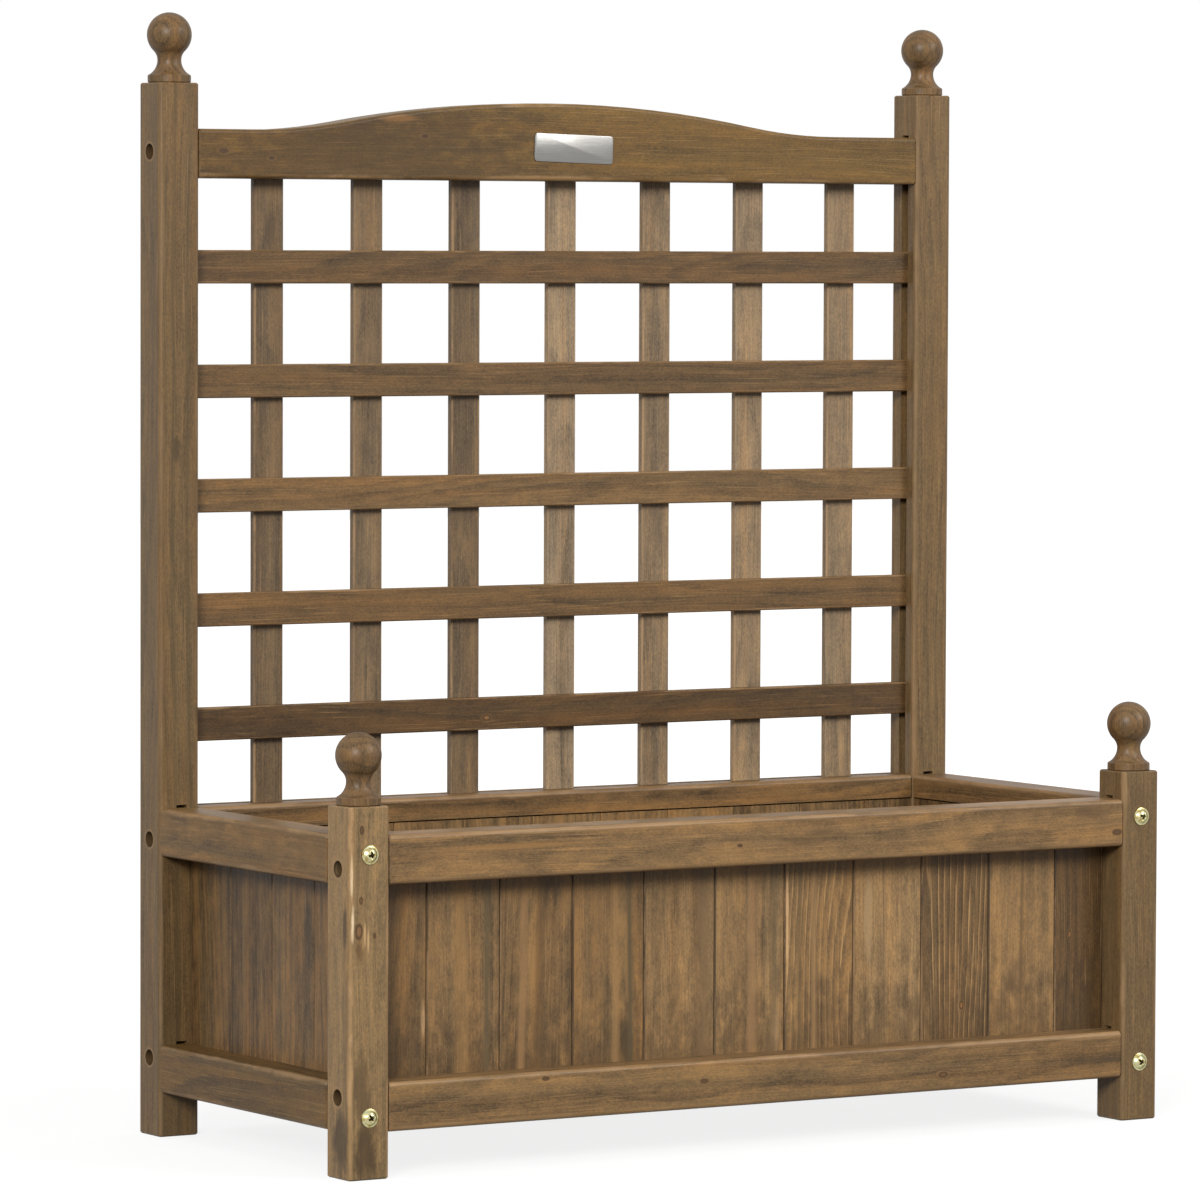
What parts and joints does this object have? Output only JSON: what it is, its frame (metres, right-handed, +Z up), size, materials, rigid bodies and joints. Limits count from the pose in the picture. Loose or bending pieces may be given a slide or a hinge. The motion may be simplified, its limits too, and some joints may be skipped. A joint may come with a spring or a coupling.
{
  "type": "trellis planter",
  "caption": "Free-standing wooden planter box with boarded sides on corner posts, carrying a slatted trellis under an arched top rail for climbing plants.",
  "frame": {"origin": "on the floor, under the middle of the footprint", "axes": "+X along the length to the right as seen from the front, +Y to the back where the trellis stands, +Z up"},
  "size_m": [0.64, 0.2918, 0.753],
  "materials": {
    "post_wood": "brown wood stain, weathered, matt",
    "finial_wood": "brown wood stain, weathered, matt",
    "rail_wood": "brown wood stain, weathered, matt",
    "arched_rail_wood": "brown wood stain, weathered, matt",
    "crossbar_wood": "brown wood stain, weathered, matt",
    "upright_wood": "brown wood stain, weathered, matt",
    "board_wood": "brown wood stain, weathered, matt",
    "floor_wood": "brown wood stain, weathered, matt",
    "stud_wood": "turned softwood dowel, unfinished",
    "screw_metal": "zinc-plated steel"
  },
  "bodies": {
    "root": {"arched_rail": "arched_rail_wood", "back_boards": "board_wood", "back_bottom_rail": "rail_wood", "back_top_rail": "rail_wood", "crossbar_1": "crossbar_wood", "crossbar_2": "crossbar_wood", "crossbar_3": "crossbar_wood", "crossbar_4": "crossbar_wood", "crossbar_5": "crossbar_wood", "dome_screws": "screw_metal", "finial_back_left": "finial_wood", "finial_back_right": "finial_wood", "finial_front_left": "finial_wood", "finial_front_right": "finial_wood", "finial_studs": "stud_wood", "floor_board_1": "floor_wood", "floor_board_2": "floor_wood", "floor_board_3": "floor_wood", "floor_board_4": "floor_wood", "floor_board_5": "floor_wood", "floor_board_6": "floor_wood", "floor_cleat_back": "floor_wood", "floor_cleat_front": "floor_wood", "front_board_1": "board_wood", "front_board_10": "board_wood", "front_board_11": "board_wood", "front_board_2": "board_wood", "front_board_3": "board_wood", "front_board_4": "board_wood", "front_board_5": "board_wood", "front_board_6": "board_wood", "front_board_7": "board_wood", "front_board_8": "board_wood", "front_board_9": "board_wood", "front_bottom_rail": "rail_wood", "front_top_rail": "rail_wood", "left_board_1": "board_wood", "left_board_2": "board_wood", "left_board_3": "board_wood", "left_board_4": "board_wood", "left_bottom_rail": "rail_wood", "left_top_rail": "rail_wood", "post_back_left": "post_wood", "post_back_right": "post_wood", "post_front_left": "post_wood", "post_front_right": "post_wood", "right_board_1": "board_wood", "right_board_2": "board_wood", "right_board_3": "board_wood", "right_board_4": "board_wood", "right_bottom_rail": "rail_wood", "right_top_rail": "rail_wood", "sunk_screws": "screw_metal", "upright_1": "upright_wood", "upright_2": "upright_wood", "upright_3": "upright_wood", "upright_4": "upright_wood", "upright_5": "upright_wood", "upright_6": "upright_wood", "upright_7": "upright_wood"}
  },
  "joints": []
}
